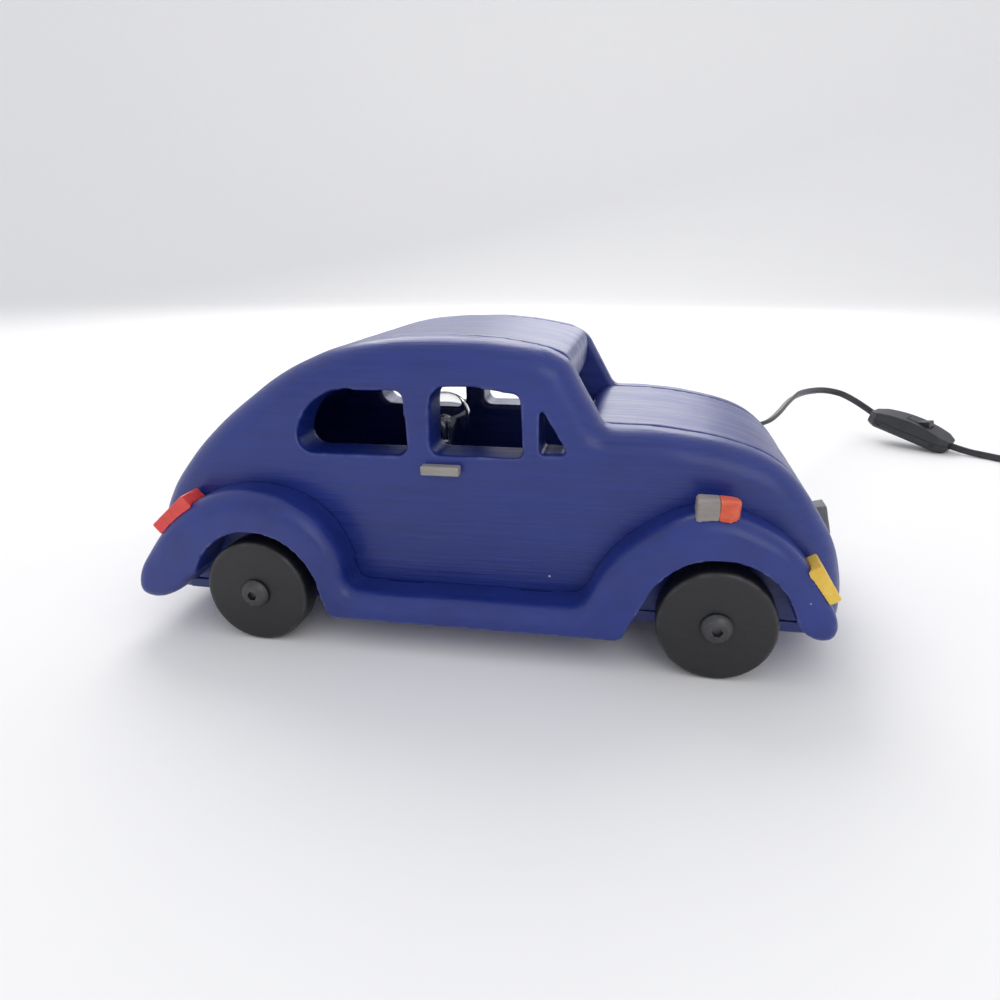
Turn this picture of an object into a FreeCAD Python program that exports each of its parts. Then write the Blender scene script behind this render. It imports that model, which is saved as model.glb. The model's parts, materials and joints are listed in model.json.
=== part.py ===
"""Wooden classic small car made as a table lamp: painted boards round a lamp holder, four turning wheels,
a flat lead with a rocker switch and a plug. Millimetres. +X is the car's nose, +Y its left side, +Z up.
The origin is on the ground, under the middle of the car. Each piece is written to parts/NAME.step."""

import FreeCAD, Part
import math
import os
from FreeCAD import Vector

os.makedirs("parts", exist_ok=True)

# ---------------------------------------------------------------- driving dimensions
# running gear
wheelbase = 208.0
rear_axle_x = -102.0
wheel_radius = 25.0
wheel_width = 14.0
wheel_edge_round = 2.0
bore_clearance = 0.05          # radial, wheel on bolt
wheel_side_gap = 0.4           # wheel to bolt head, and wheel to washer
bolt_radius = 3.0
bolt_head_radius = 6.8
bolt_flange_height = 0.9
bolt_head_height = 3.4
bolt_socket_flats = 4.0
bolt_socket_depth = 2.0
bolt_tail = 1.5                # bolt end past the inner nut
nut_flats = 10.0
nut_height = 5.0
washer_radius = 6.0
washer_height = 1.0

# body
ground_clearance = 15.0        # ground to the underside of the base board
base_height = 5.0
body_height = 119.6            # top of the base board to the crown of the roof
body_width = 132.0             # over the two side boards
side_board_width = 20.0
side_edge_round = 13.0         # rounding of a side board's outer edge
roof_corner_round = 14.0       # side board, where the roof line turns down the windscreen
cowl_corner_round = 4.0        # side board, where the windscreen meets the bonnet
panel_height = 18.0            # thickness of the roof and bonnet panels
roof_nose_round = 8.0
roof_lip_round = 3.0
cowl_round = 9.0
dowel_radius = 3.0
dowel_length = 30.0

# windows, in each side board
sill_height = 68.4             # above the base board
roof_rail = 22.2               # crown of the roof down to the quarter window
door_rail = 20.0               # crown of the roof down to the door window
pillar_x = -25.3               # middle of the post between quarter window and door window
pillar_width = 11.0
quarter_length = 52.0
door_length = 41.0
vent_post = 7.6                # post between door window and vent window
vent_length = 11.8
vent_height = 20.5
window_round = 4.0
door_rear_round = 7.0

# fender boards
fender_width = 20.0
arch_gap = 6.5                 # wheel to wheel arch, radial
arch_drop = 1.5                # centre of the arch below the axle
running_board_height = 12.5
rear_foot = 12.8               # arch to the foot of the rear fender, on the running board
front_foot = 24.7
rear_heel = 3.5                # arch to the end of the running board's underside
front_heel = 7.6
heel_round = 3.0
running_board_round = 7.5
fender_dowel_length = 24.0

# blocks on the outside
door_handle = (17.5, 4.3, 5.0)     # length, height, stand-off
door_handle_x = -14.6              # its middle
door_handle_drop = 3.1             # sill down to the top of the handle
bonnet_handle = (15.5, 11.0, 6.9)  # height, width, stand-off
headlight = (17.0, 14.0, 4.0)      # along the fender, width, stand-off
headlight_angle = 29.2             # degrees about the front arch, from straight ahead
headlight_y = -77.0
tail_light = (23.5, 14.0, 4.6)
tail_light_angle = 138.7
tail_light_y = -75.0
indicator = (17.6, 10.0, 5.9)
indicator_base_length = 9.1        # rear part; the lens is the rest
indicator_angle = 93.1
indicator_y = -78.0
indicator_round = 1.6
block_round = 0.8
block_sink = 4.0                   # raw block reaches this far into the wood before it is fitted to it

# screws through the base board
screw_radius = 1.75
screw_head_radius = 3.8
screw_head_height = 2.5
screw_length = 22.0

# lamp holder and bulb
lamp_x = -31.0
bracket_radius = 21.0
bracket_height = 1.5
bracket_screw_x = 17.6             # from the lamp's centre
holder_radius = 14.5
holder_wall = 2.0
holder_height = 38.5
holder_lip = 2.0
flex_height = 9.0                  # underside of the holder up to the flex
cap_radius = 6.9
cap_clearance = 0.1                # radial, cap in the holder core
cap_length = 20.0
cap_wall = 0.4
insulator_height = 3.0
tip_height = 1.0
contact_height = 1.0
bulb_radius = 14.0
bulb_top = 105.0
bulb_wall = 0.9
stem_radius = 2.2
stem_height = 15.0
filament_radius = 0.25
filament_spread = 6.0
filament_rise = 13.0

# strain relief in the left side board
relief_x = 30.0
relief_z = 48.0
relief_sleeve_radius = 5.0
relief_flange_radius = 7.5
relief_flange_height = 2.0
relief_length = 26.0               # outside the board, flange included
relief_tip_wall = 0.9

# lead
lead_radius = 2.8                  # half the width of the flat lead
lead_entry = 4.0                   # lead's end inside the switch
coil_x = 424.0
coil_y = 232.0
coil_mean_radius = 32.0
coil_turns_across = 3
coil_layers = 2
lead_thickness = 3.6               # flat lead, side to side of one turn
tie_thickness = 0.6
tie_width = 5.0
tie_angle = 150.0                  # degrees round the coil

# switch on the lead
switch_x = 308.8                   # its middle
switch_y = 327.1
switch_yaw = -37.2
switch_pitch = 14.8                # nose down: the lead holds the other end up
switch_length = 70.0
switch_width = 26.0
switch_end_width = 15.0
switch_shoulder = 7.0
cover_height = 10.0
cover_end_height = 4.5
base_shell_height = 7.0
base_shell_chamfer = 2.5
shell_wall = 2.0
rocker_x = 5.0                     # from the switch's middle
rocker_radius = 10.0
rocker_width = 11.0
rocker_ridge = 3.0                 # above the pin
rocker_tilt = 12.0
rocker_depth = 4.5                 # below the pin
rocker_gap = 0.4
rocker_pin_radius = 1.5
rocker_pin_drop = 2.6              # top of the cover down to the pin
cheek_width = 2.5
cheek_length = 7.0
post_radius = 3.0
post_x = 24.0
switch_screw_radius = 1.2
switch_screw_head = (2.6, 1.4)     # radius, height
switch_screw_grip = 4.0            # into the cover
terminal = (7.0, 6.0, 5.0)         # length, width, height
terminal_x = 14.0

# plug
plug_length = 34.0
plug_width = 34.0
plug_rear_width = 15.0
plug_height = 13.6
plug_round = 2.0
plug_pin_radius = 2.0
plug_pin_length = 19.0
plug_pin_grip = 8.0
plug_pin_spacing = 18.6
plug_relief_length = 28.0
plug_relief_radius = 5.5
plug_start = 4.0                   # coil's last point to the tip of the plug's strain relief
plug_angle = -24.6                 # degrees round the coil where the lead leaves it

# ---------------------------------------------------------------- places worked out from them
front_axle_x = rear_axle_x + wheelbase
axle_z = wheel_radius
base_top = ground_clearance + base_height
half_width = body_width / 2.0
inner_face = half_width - side_board_width
outer_face = half_width + fender_width
wheel_outer = outer_face
wheel_inner = wheel_outer - wheel_width
arch_radius = wheel_radius + arch_gap
arch_z = axle_z - arch_drop
roof_z = base_top + body_height
sill_z = base_top + sill_height
running_board_z = ground_clearance + running_board_height
board_washer_radius = axle_z - base_top    # as large as the base board leaves room for
holder_z = base_top + bracket_height
holder_top = holder_z + holder_height
cap_z = holder_top - holder_lip - cap_length + insulator_height + 2.5
relief_tip_y = half_width + relief_length
coil_band = coil_turns_across * lead_thickness
coil_height = coil_layers * 2.0 * lead_radius
coil_outer = coil_mean_radius + coil_band / 2.0

# Side view outlines. A body point is (share of the wheelbase ahead of the rear axle, share of the body
# height).
ROOF_LINE = [(-0.296, 0.0), (-0.308, 0.16), (-0.276, 0.345), (-0.212, 0.498), (-0.130, 0.639),
             (-0.026, 0.777), (0.084, 0.893), (0.223, 0.975), (0.375, 1.0), (0.529, 0.990), (0.640, 0.955)]
SCREEN_TOP = (0.682, 0.918)
BONNET_LINE = [(0.757, 0.681), (0.892, 0.670), (1.008, 0.634), (1.099, 0.576), (1.157, 0.493),
               (1.198, 0.393), (1.229, 0.300), (1.249, 0.200), (1.259, 0.100), (1.260, 0.0)]
ROOF_NOSE = (0.686, 0.926)
ROOF_LIP = (0.681, 0.765)
COWL_REAR = (0.705, 0.684)
# A fender point is (degrees about the arch centre from straight ahead, height above the arch, edge rounding
# there).
REAR_FENDER = [(163, 0.0, 0.0), (170, 3.0, 1.5), (179, 7.5, 2.5), (184.5, 15.0, 3.0), (186, 23.5, 3.0),
               (183, 30.5, 3.5), (176, 31.3, 4.5), (164, 27.2, 6.0), (150, 23.5, 7.5), (130, 20.8, 9.0),
               (110, 19.5, 9.5), (90, 18.3, 9.5), (68, 17.8, 9.5), (50, 17.1, 9.0), (33, 15.2, 8.0),
               (18, 13.5, 7.5)]
FRONT_FENDER = [(163, 22.6, 7.5), (150, 20.5, 8.0), (135, 18.8, 9.0), (120, 18.1, 9.5), (104, 18.7, 9.5),
                (90, 18.1, 9.5), (76, 16.1, 9.0), (60, 14.7, 8.5), (44, 13.7, 7.5), (28, 13.6, 6.0),
                (15, 15.0, 4.5),
                (6, 16.0, 3.0), (-0.5, 14.0, 2.5), (-2.2, 10.0, 2.0), (0.5, 4.5, 1.5), (7, 1.0, 1.0),
                (14, 0.0, 0.0)]
# A running board point is (distance from the foot of the fender, height above the board's top).
FOOT_HOLLOW = [(-0.6, 4.2), (2.0, 1.1), (6.5, 0.0)]
REAR_ARCH_END = 4.0            # degrees: here the arch turns into a straight line down to the running board
FRONT_ARCH_END = 156.0
ROOF_DOWELS = (0.12, 0.50, 0.88)   # shares of the way along the roof line
BONNET_DOWELS = (0.20, 0.70)
REAR_FENDER_DOWELS = (60.0, 115.0)  # degrees about the rear arch
FRONT_FENDER_DOWELS = (70.0, 125.0)
BASE_SCREWS = (-70.0, 0.0, 70.0)   # x
BONNET_HANDLE_SHARE = (1.249, 0.200)
ROUND_LEVELS = [0.0, 0.5, 1.3, 2.4, 3.8, 5.5, 7.5, 9.5]   # depths from the outer face, for the rounding

# Routes, as corner points. The flex inside runs from the holder to the strain relief, and the lead from there.
FLEX_ROUTE = [(lamp_x + 8.0, 0.0, holder_z + flex_height), (6.0, 2.0, 30.0), (27.0, 14.0, 40.0),
              (relief_x, 34.0, relief_z), (relief_x, half_width, relief_z)]
LEAD_TO_SWITCH = [(relief_x, half_width, relief_z), (relief_x, 105, relief_z), (53, 137, 50),
                  (92, 154, 51.5), (133, 161, 51),
                  (160, 180, 50.3), (174, 211, 51.5), (187, 249, 53.2), (201, 286, 52.8), (217, 319, 49.8),
                  (238, 346, 46.5), (263, 359, 38.5)]
LEAD_TO_COIL = [(346, 299, 3.6), (358, 291, 2.9), (369, 279, 2.8), (383, 270, 2.8), (398, 267.7, 2.8),
                (412, 267.6, 2.8)]


def put(name, shape):
    """Write one piece."""
    if not shape.isValid():
        print("NOT VALID", name)
    shape.exportStep("parts/%s.step" % name)


def flat(point, y=0.0):
    """A side view point (x, z) as a vector at y."""
    return Vector(point[0], y, point[1])


def body_point(share):
    """A point of a body outline, in side view millimetres."""
    return (rear_axle_x + share[0] * wheelbase, base_top + share[1] * body_height)


def fender_point(polar, axle_x):
    """A point of a fender outline, in side view millimetres."""
    angle = math.radians(polar[0])
    radius = arch_radius + polar[1]
    return (axle_x + radius * math.cos(angle), arch_z + radius * math.sin(angle))


def curve_through(points):
    """One smooth side view curve through points (x, z)."""
    curve = Part.BSplineCurve()
    curve.interpolate([flat(point) for point in points])
    return curve


def line(a, b):
    """Straight side view edge between two points."""
    return Part.LineSegment(flat(a), flat(b)).toShape()


def arc(a, middle, b):
    """Side view arc through three points."""
    return Part.Arc(flat(a), flat(middle), flat(b)).toShape()


def board(edges, y_low, y_high):
    """A board with the side view outline made by edges, between two faces."""
    face = Part.Face(Part.Wire(edges))
    solid = face.extrude(Vector(0, y_high - y_low, 0))
    solid.translate(Vector(0, y_low, 0))
    return solid


def inset_point(curve, share, depth):
    """The point a fixed depth inside a curve, on the side of the body's middle, at a share of the way
    along."""
    first, last = curve.FirstParameter, curve.LastParameter
    parameter = first + (last - first) * share
    point = curve.value(parameter)
    tangent = curve.tangent(parameter)[0]
    normal = Vector(tangent.z, 0, -tangent.x)
    middle = Vector(rear_axle_x + wheelbase / 2.0, 0, base_top)
    if normal.dot(middle - point) < 0:
        normal = normal * -1
    return point + normal * depth


def inset_curve(curve, depth):
    """A curve a fixed depth inside another."""
    count = 16
    inner = Part.BSplineCurve()
    inner.interpolate([inset_point(curve, step / count, depth) for step in range(count + 1)])
    return inner


def edges_along_y(shape, x, z, reach=1.0):
    """Edges parallel to Y that pass near (x, z)."""
    found = []
    for edge in shape.Edges:
        a, b = edge.Vertexes[0].Point, edge.Vertexes[-1].Point
        if abs(a.x - b.x) < 1e-4 and abs(a.z - b.z) < 1e-4 and math.hypot(a.x - x, a.z - z) < reach:
            found.append(edge)
    return found


def rim_edges(shape, y, above):
    """Edges of the face at y whose whole length is higher than a level."""
    found = []
    for edge in shape.Edges:
        box = edge.BoundBox
        if abs(box.YMin - y) < 1e-4 and abs(box.YMax - y) < 1e-4 and box.ZMax > above + 1.0:
            found.append(edge)
    return found


def mirrored(shape):
    """The same piece on the other side of the car."""
    return shape.mirror(Vector(0, 0, 0), Vector(0, 1, 0))


def both_sides(shapes):
    """Pieces of the right side with their mirror images."""
    return shapes + [mirrored(shape) for shape in shapes]


def rod(radius, start, direction, length):
    """A round rod."""
    return Part.makeCylinder(radius, length, start, direction)


def corner(before, here, after, radius):
    """Start, middle and end of the arc that rounds a corner and touches both its sides."""
    point = flat(here)
    back = (flat(before) - point).normalize()
    ahead = (flat(after) - point).normalize()
    half_angle = back.getAngle(ahead) / 2.0
    reach = radius / math.tan(half_angle)
    bulge = point + (back + ahead).normalize() * (radius / math.sin(half_angle) - radius)
    return [(end.x, end.z) for end in (point + back * reach, bulge, point + ahead * reach)]


def rounded_polygon(corners):
    """Closed outline from corners (x, z, radius)."""
    count = len(corners)
    arcs = [corner(corners[i - 1], corners[i], corners[(i + 1) % count], corners[i][2]) for i in range(count)]
    edges = []
    for i in range(count):
        edges.append(arc(*arcs[i]))
        edges.append(line(arcs[i][2], arcs[(i + 1) % count][0]))
    return edges


def curve_ends(curve):
    """First and last point of a curve, in side view."""
    first, last = curve.value(curve.FirstParameter), curve.value(curve.LastParameter)
    return (first.x, first.z), (last.x, last.z)


# ---------------------------------------------------------------- body outlines
roof_curve = curve_through([body_point(share) for share in ROOF_LINE])
bonnet_curve = curve_through([body_point(share) for share in BONNET_LINE])
screen_top = body_point(SCREEN_TOP)
roof_start, roof_end = body_point(ROOF_LINE[0]), body_point(ROOF_LINE[-1])
bonnet_start, bonnet_end = body_point(BONNET_LINE[0]), body_point(BONNET_LINE[-1])


def window_holes(y_low, y_high):
    """The three windows of one side board, as solids to cut away."""
    over = 1.0
    low, high = y_low - over, y_high + over
    top = roof_z - roof_rail
    front = pillar_x - pillar_width / 2.0
    rear = front - quarter_length
    shoulder = (rear + 0.6, sill_z + 0.36 * (top - sill_z))
    crown = (rear + 0.58 * quarter_length, top)
    haunch = (rear + 0.16 * quarter_length, sill_z + 0.78 * (top - sill_z))
    front_top = (front - 0.6, top)
    quarter = [
        arc(shoulder, haunch, crown),
        line(crown, (front_top[0] - window_round, top)),
        arc((front_top[0] - window_round, top), (front_top[0] - 0.3 * window_round, top - 0.3 * window_round),
            (front_top[0], top - window_round)),
        line((front_top[0], top - window_round), (front, sill_z + window_round)),
        arc((front, sill_z + window_round), (front - 0.3 * window_round, sill_z + 0.3 * window_round),
            (front - window_round, sill_z)),
        line((front - window_round, sill_z), (rear + 1.6 * window_round, sill_z)),
        arc((rear + 1.6 * window_round, sill_z), (rear + 0.55 * window_round, sill_z + 0.5 * window_round),
            (rear, sill_z + 1.7 * window_round)),
        line((rear, sill_z + 1.7 * window_round), shoulder),
    ]
    door_rear = pillar_x + pillar_width / 2.0
    door_front = door_rear + door_length
    door_top = roof_z - door_rail
    door = rounded_polygon([
        (door_rear, sill_z + 0.8, window_round), (door_front + 0.6, sill_z + 0.4, 2.5),
        (door_front - 0.8, door_top - 3.2, 2.5), (door_rear + 0.45 * door_length, door_top, 30.0),
        (door_rear + 0.8, door_top - 0.6, door_rear_round)])
    vent_rear = door_front + vent_post
    vent_foot = sill_z + 2.6
    vent = rounded_polygon([
        (vent_rear, vent_foot, 0.8), (vent_rear + vent_length, vent_foot, 0.8),
        (vent_rear + vent_length, vent_foot + 1.2, 0.5), (vent_rear, vent_foot + vent_height + 1.2, 0.8)])
    return [board(edges, low, high) for edges in (quarter, door, vent)]


def side_board_raw():
    """Right side board before its holes: outline, then the rounded outer rim."""
    outline = [roof_curve.toShape(), line(roof_end, screen_top), line(screen_top, bonnet_start),
               bonnet_curve.toShape(), line(bonnet_end, roof_start)]
    solid = board(outline, -half_width, -inner_face)
    solid = solid.makeFillet(roof_corner_round, edges_along_y(solid, *screen_top))
    solid = solid.makeFillet(cowl_corner_round, edges_along_y(solid, *bonnet_start))
    return solid.makeFillet(side_edge_round, rim_edges(solid, -half_width, base_top))


def panel_dowel_points():
    """Side view places of the dowels between the side boards and the two panels."""
    roof = [inset_point(roof_curve, share, panel_height / 2.0) for share in ROOF_DOWELS]
    return roof + [inset_point(bonnet_curve, share, panel_height / 2.0) for share in BONNET_DOWELS]


def panel_dowels():
    """Right side dowels, half in a panel and half in the side board."""
    start = -inner_face - dowel_length / 2.0
    return [rod(dowel_radius, Vector(point.x, start, point.z), Vector(0, 1, 0), dowel_length)
            for point in panel_dowel_points()]


def fender_dowels():
    """Right side dowels, half in the side board and half in the fender board."""
    places = [fender_place(REAR_FENDER, rear_axle_x, angle)[0] for angle in REAR_FENDER_DOWELS]
    places += [fender_place(FRONT_FENDER, front_axle_x, angle)[0] for angle in FRONT_FENDER_DOWELS]
    centres = [Vector(rear_axle_x, 0, arch_z)] * len(REAR_FENDER_DOWELS)
    centres += [Vector(front_axle_x, 0, arch_z)] * len(FRONT_FENDER_DOWELS)
    start = -half_width - fender_dowel_length / 2.0
    rods = []
    for place, centre in zip(places, centres):
        outward = (place - centre).normalize()
        middle = (place + centre + outward * arch_radius) * 0.5
        rods.append(rod(dowel_radius, Vector(middle.x, start, middle.z), Vector(0, 1, 0),
                        fender_dowel_length))
    return rods


def base_screws():
    """Countersunk screws up through the base board into the right side board."""
    screws = []
    for x in BASE_SCREWS:
        start = Vector(x, -half_width + side_board_width / 2.0, ground_clearance)
        head = Part.makeCone(screw_head_radius, screw_radius, screw_head_height, start, Vector(0, 0, 1))
        screws.append(head.fuse(rod(screw_radius, start, Vector(0, 0, 1), screw_length)).removeSplitter())
    return screws


def drilled(solid, pieces):
    """A board with room cut for each of the pieces in it."""
    for piece in pieces:
        solid = solid.cut(piece)
    return solid


def side_board():
    """Right side board: three windows, two bolt holes, and the holes for dowels and screws."""
    solid = drilled(side_board_raw(), window_holes(-half_width, -inner_face))
    for x in (rear_axle_x, front_axle_x):
        solid = solid.cut(rod(bolt_radius, Vector(x, -half_width, axle_z), Vector(0, 1, 0), side_board_width))
    return drilled(solid, panel_dowels() + fender_dowels() + base_screws())


def roof_panel():
    """Curved panel between the side boards, from the base board at the back up to the windscreen."""
    inner = inset_curve(roof_curve, panel_height)
    inner_start, inner_end = curve_ends(inner)
    nose, lip = body_point(ROOF_NOSE), body_point(ROOF_LIP)
    outline = [roof_curve.toShape(), line(roof_end, nose), line(nose, lip), line(lip, inner_end),
               inner.toShape(),
               line(inner_start, roof_start)]
    solid = board(outline, -inner_face, inner_face)
    solid = solid.makeFillet(roof_nose_round, edges_along_y(solid, *nose))
    solid = solid.makeFillet(roof_lip_round, edges_along_y(solid, *lip))
    return drilled(solid.cut(below_body()), both_sides(panel_dowels()))


def bonnet_panel():
    """Curved panel between the side boards, from the windscreen down to the base board at the front."""
    inner = inset_curve(bonnet_curve, panel_height)
    inner_start, inner_end = curve_ends(inner)
    rear = body_point(COWL_REAR)
    rear_under = (rear[0], inner_start[1])
    outline = [line(rear, bonnet_start), bonnet_curve.toShape(), line(bonnet_end, inner_end), inner.toShape(),
               line(inner_start, rear_under), line(rear_under, rear)]
    solid = board(outline, -inner_face, inner_face)
    solid = solid.makeFillet(cowl_round, edges_along_y(solid, *rear))
    return drilled(solid.cut(below_body()), both_sides(panel_dowels()))


def below_body():
    """Block that takes away what would reach under the top of the base board."""
    return Part.makeBox(2.0 * wheelbase, body_width, base_top,
                        Vector(rear_axle_x - 0.5 * wheelbase, -half_width, 0))


def base_board():
    """Flat board under the body, its corners rounded like the side boards, drilled for its screws."""
    length = bonnet_end[0] - roof_start[0]
    solid = Part.makeBox(length, body_width, base_height,
                         Vector(roof_start[0], -half_width, ground_clearance))
    corners = [edge for edge in solid.Edges
               if abs(edge.Vertexes[0].Point.z - edge.Vertexes[1].Point.z) > base_height / 2.0]
    solid = solid.makeFillet(side_edge_round, corners)
    return drilled(solid, both_sides(base_screws()) + bracket_screws())


# ---------------------------------------------------------------- fender boards
def fender_top():
    """Points of a fender board's top edge from the rear arch round the tail to the front arch: (x, z,
    rounding)."""
    rear_foot_x = rear_axle_x + arch_radius + rear_foot
    front_foot_x = front_axle_x - arch_radius - front_foot
    hollow = [(rear_foot_x + reach, running_board_z + rise) for reach, rise in FOOT_HOLLOW]
    hollow += [(front_foot_x - reach, running_board_z + rise) for reach, rise in reversed(FOOT_HOLLOW)]
    middle = (rear_foot_x + front_foot_x) / 2.0
    hollow.insert(len(FOOT_HOLLOW), (middle, running_board_z))
    top = [fender_point(polar, rear_axle_x) + (polar[2],) for polar in REAR_FENDER]
    top += [point + (running_board_round,) for point in hollow]
    top += [fender_point(polar, front_axle_x) + (polar[2],) for polar in FRONT_FENDER]
    return top


def fender_place(outline, axle_x, angle):
    """Point of a fender's top edge at an angle about its arch, and the outward normal there."""
    below = max(point for point in outline if point[0] <= angle)
    above = min(point for point in outline if point[0] >= angle)
    share = 0.0 if above[0] == below[0] else (angle - below[0]) / (above[0] - below[0])
    near = fender_point((angle, below[1] + share * (above[1] - below[1])), axle_x)
    curve = curve_through([point[:2] for point in fender_top()])
    parameter = curve.parameter(flat(near))
    tangent = curve.tangent(parameter)[0]
    return curve.value(parameter), Vector(-tangent.z, 0, tangent.x)


def fender_section(top, normals, depth):
    """Outline of a fender board at a depth from its outer face."""
    points = []
    for (x, z, rounding), normal in zip(top, normals):
        inset = 0.0
        if depth < rounding:
            inset = rounding - math.sqrt(rounding ** 2 - (rounding - depth) ** 2)
        points.append((x - normal.x * inset, z - normal.z * inset))
    rear_arch_foot = fender_point((REAR_ARCH_END, 0.0), rear_axle_x)
    front_arch_foot = fender_point((FRONT_ARCH_END, 0.0), front_axle_x)
    rear_heel_point = (rear_axle_x + arch_radius + rear_heel, ground_clearance)
    front_heel_point = (front_axle_x - arch_radius - front_heel, ground_clearance)
    rear_arc = corner(rear_arch_foot, rear_heel_point, front_heel_point, heel_round)
    front_arc = corner(rear_heel_point, front_heel_point, front_arch_foot, heel_round)
    edges = [curve_through(points).toShape(),
             arc(points[-1], fender_point((90.0, 0.0), front_axle_x), front_arch_foot),
             line(front_arch_foot, front_arc[2]), arc(*reversed(front_arc)),
             line(front_arc[0], rear_arc[2]), arc(*reversed(rear_arc)), line(rear_arc[0], rear_arch_foot),
             arc(rear_arch_foot, fender_point((90.0, 0.0), rear_axle_x), points[0])]
    wire = Part.Wire(edges)
    wire.translate(Vector(0, -outer_face + depth, 0))
    return wire


def fender_board():
    """Right fender board: rear fender, running board and front fender in one carved piece."""
    top = fender_top()
    curve = curve_through([point[:2] for point in top])
    normals = []
    for point in top:
        tangent = curve.tangent(curve.parameter(flat(point)))[0]
        normals.append(Vector(-tangent.z, 0, tangent.x))
    sections = [fender_section(top, normals, depth) for depth in ROUND_LEVELS + [fender_width]]
    return drilled(Part.makeLoft(sections, True, True), fender_dowels())


# ---------------------------------------------------------------- running gear
def wheel(x):
    """Right wheel: a wooden disc with softened edges and a bore for its bolt."""
    solid = rod(wheel_radius, Vector(x, -wheel_outer, axle_z), Vector(0, 1, 0), wheel_width)
    rims = [edge for edge in solid.Edges if edge.Curve.TypeId == "Part::GeomCircle"]
    solid = solid.makeFillet(wheel_edge_round, rims)
    return solid.cut(rod(bolt_radius + bore_clearance, Vector(x, -wheel_outer - 1.0, axle_z), Vector(0, 1, 0),
                         wheel_width + 2.0))


def hexagon(across_flats, length):
    """Hexagonal rod along +Y from the origin, two flats level."""
    radius = across_flats / math.sqrt(3.0)
    points = [Vector(radius * math.cos(math.radians(60 * i)), 0, radius * math.sin(math.radians(60 * i)))
              for i in range(7)]
    return Part.Face(Part.makePolygon(points)).extrude(Vector(0, length, 0))


def bolt_head_y():
    """Underside of a bolt's flange, on the right side."""
    return -wheel_outer - wheel_side_gap


def lock_nut_y():
    """Outer face of a wheel's lock nut, on the right side."""
    return -half_width - nut_height


def wheel_bolt(x):
    """Flanged button head bolt with a hexagon socket, from the wheel through the side board."""
    shank_end = -inner_face + washer_height + nut_height + bolt_tail
    under = bolt_head_y()
    profile = [Vector(0, under, 0), Vector(bolt_head_radius, under, 0),
               Vector(bolt_head_radius, under - bolt_flange_height, 0)]
    dome_end = Vector(0.42 * bolt_head_radius, under - bolt_head_height, 0)
    dome_middle = Vector(0.80 * bolt_head_radius, under - 0.72 * bolt_head_height, 0)
    edges = [Part.makePolygon(profile), Part.Arc(profile[-1], dome_middle, dome_end).toShape(),
             Part.makePolygon([dome_end, Vector(0, dome_end.y, 0), profile[0]])]
    head = Part.Face(Part.Wire([edge for shape in edges for edge in shape.Edges]))
    head = head.revolve(Vector(0, 0, 0), Vector(0, 1, 0), 360)
    socket = hexagon(bolt_socket_flats, bolt_socket_depth)
    socket.translate(Vector(0, under - bolt_head_height, 0))
    solid = head.cut(socket).fuse(rod(bolt_radius, Vector(0, under, 0), Vector(0, 1, 0), shank_end - under))
    solid.translate(Vector(x, 0, axle_z))
    return solid.removeSplitter()


def nut(x, y):
    """Hexagon nut with its lower face at y."""
    solid = hexagon(nut_flats, nut_height)
    solid.translate(Vector(x, y, axle_z))
    return solid.cut(rod(bolt_radius, Vector(x, y, axle_z), Vector(0, 1, 0), nut_height))


def washer(radius, x, y, height):
    """Flat washer with its lower face at y."""
    return ring(radius, bolt_radius, Vector(x, y, axle_z), Vector(0, 1, 0), height)


def ring(outer, inner, start, direction, length):
    """Round tube."""
    return rod(outer, start, direction, length).cut(rod(inner, start, direction, length))


# ---------------------------------------------------------------- blocks
def stood_on(shape, point, normal, y):
    """A shape drawn on the ground at the origin, stood on a side view point with its +Z along the normal
    there."""
    shape.rotate(Vector(0, 0, 0), Vector(0, 1, 0), math.degrees(math.atan2(normal.x, normal.z)))
    shape.translate(Vector(point.x, y, point.z))
    return shape


def raised_edges(shape, stand_off):
    """Edges of a block that aren't in the wood."""
    return [edge for edge in shape.Edges if edge.BoundBox.ZMax > stand_off - 0.01]


def block(size, point, normal, y):
    """Block with softened edges, sunk a little into the surface that it stands on."""
    length, width, stand_off = size
    box = Part.makeBox(length, width, stand_off + block_sink,
                       Vector(-length / 2.0, -width / 2.0, -block_sink))
    return stood_on(box.makeFillet(block_round, raised_edges(box, stand_off)), point, normal, y)


def fender_block(size, outline, axle_x, angle, y, fender):
    """Block on the top edge of a fender board, fitted to it."""
    point, normal = fender_place(outline, axle_x, angle)
    return block(size, point, normal, y).cut(fender)


def indicator_parts(fender):
    """Grey base and coloured lens of the indicator on the front fender; the lens has a round front."""
    length, width, stand_off = indicator
    radius = width / 2.0
    rear, front = -length / 2.0, length / 2.0 - radius
    low = -block_sink
    sides = Part.makePolygon([Vector(front, radius, low), Vector(rear, radius, low),
                              Vector(rear, -radius, low),
                              Vector(front, -radius, low)])
    nose = Part.Arc(Vector(front, -radius, low), Vector(front + radius, 0, low),
                    Vector(front, radius, low)).toShape()
    solid = Part.Face(Part.Wire(sides.Edges + [nose])).extrude(Vector(0, 0, stand_off + block_sink))
    solid = solid.makeFillet(indicator_round, raised_edges(solid, stand_off))
    half = Part.makeBox(2.0 * length, 2.0 * width, 4.0 * stand_off,
                        Vector(rear + indicator_base_length, -width, -2.0 * stand_off))
    point, normal = fender_place(FRONT_FENDER, front_axle_x, indicator_angle)
    lens, base = solid.common(half), solid.cut(half)
    return [stood_on(piece, point, normal, indicator_y).cut(fender) for piece in (base, lens)]


def door_handle_block():
    """Handle block on the right side board, under the door window."""
    length, height, stand_off = door_handle
    box = Part.makeBox(length, stand_off, height,
                       Vector(door_handle_x - length / 2.0, -half_width - stand_off,
                              sill_z - door_handle_drop - height))
    outer = [edge for edge in box.Edges if edge.BoundBox.YMin < -half_width - stand_off + 0.01]
    return box.makeFillet(block_round, outer)


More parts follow.
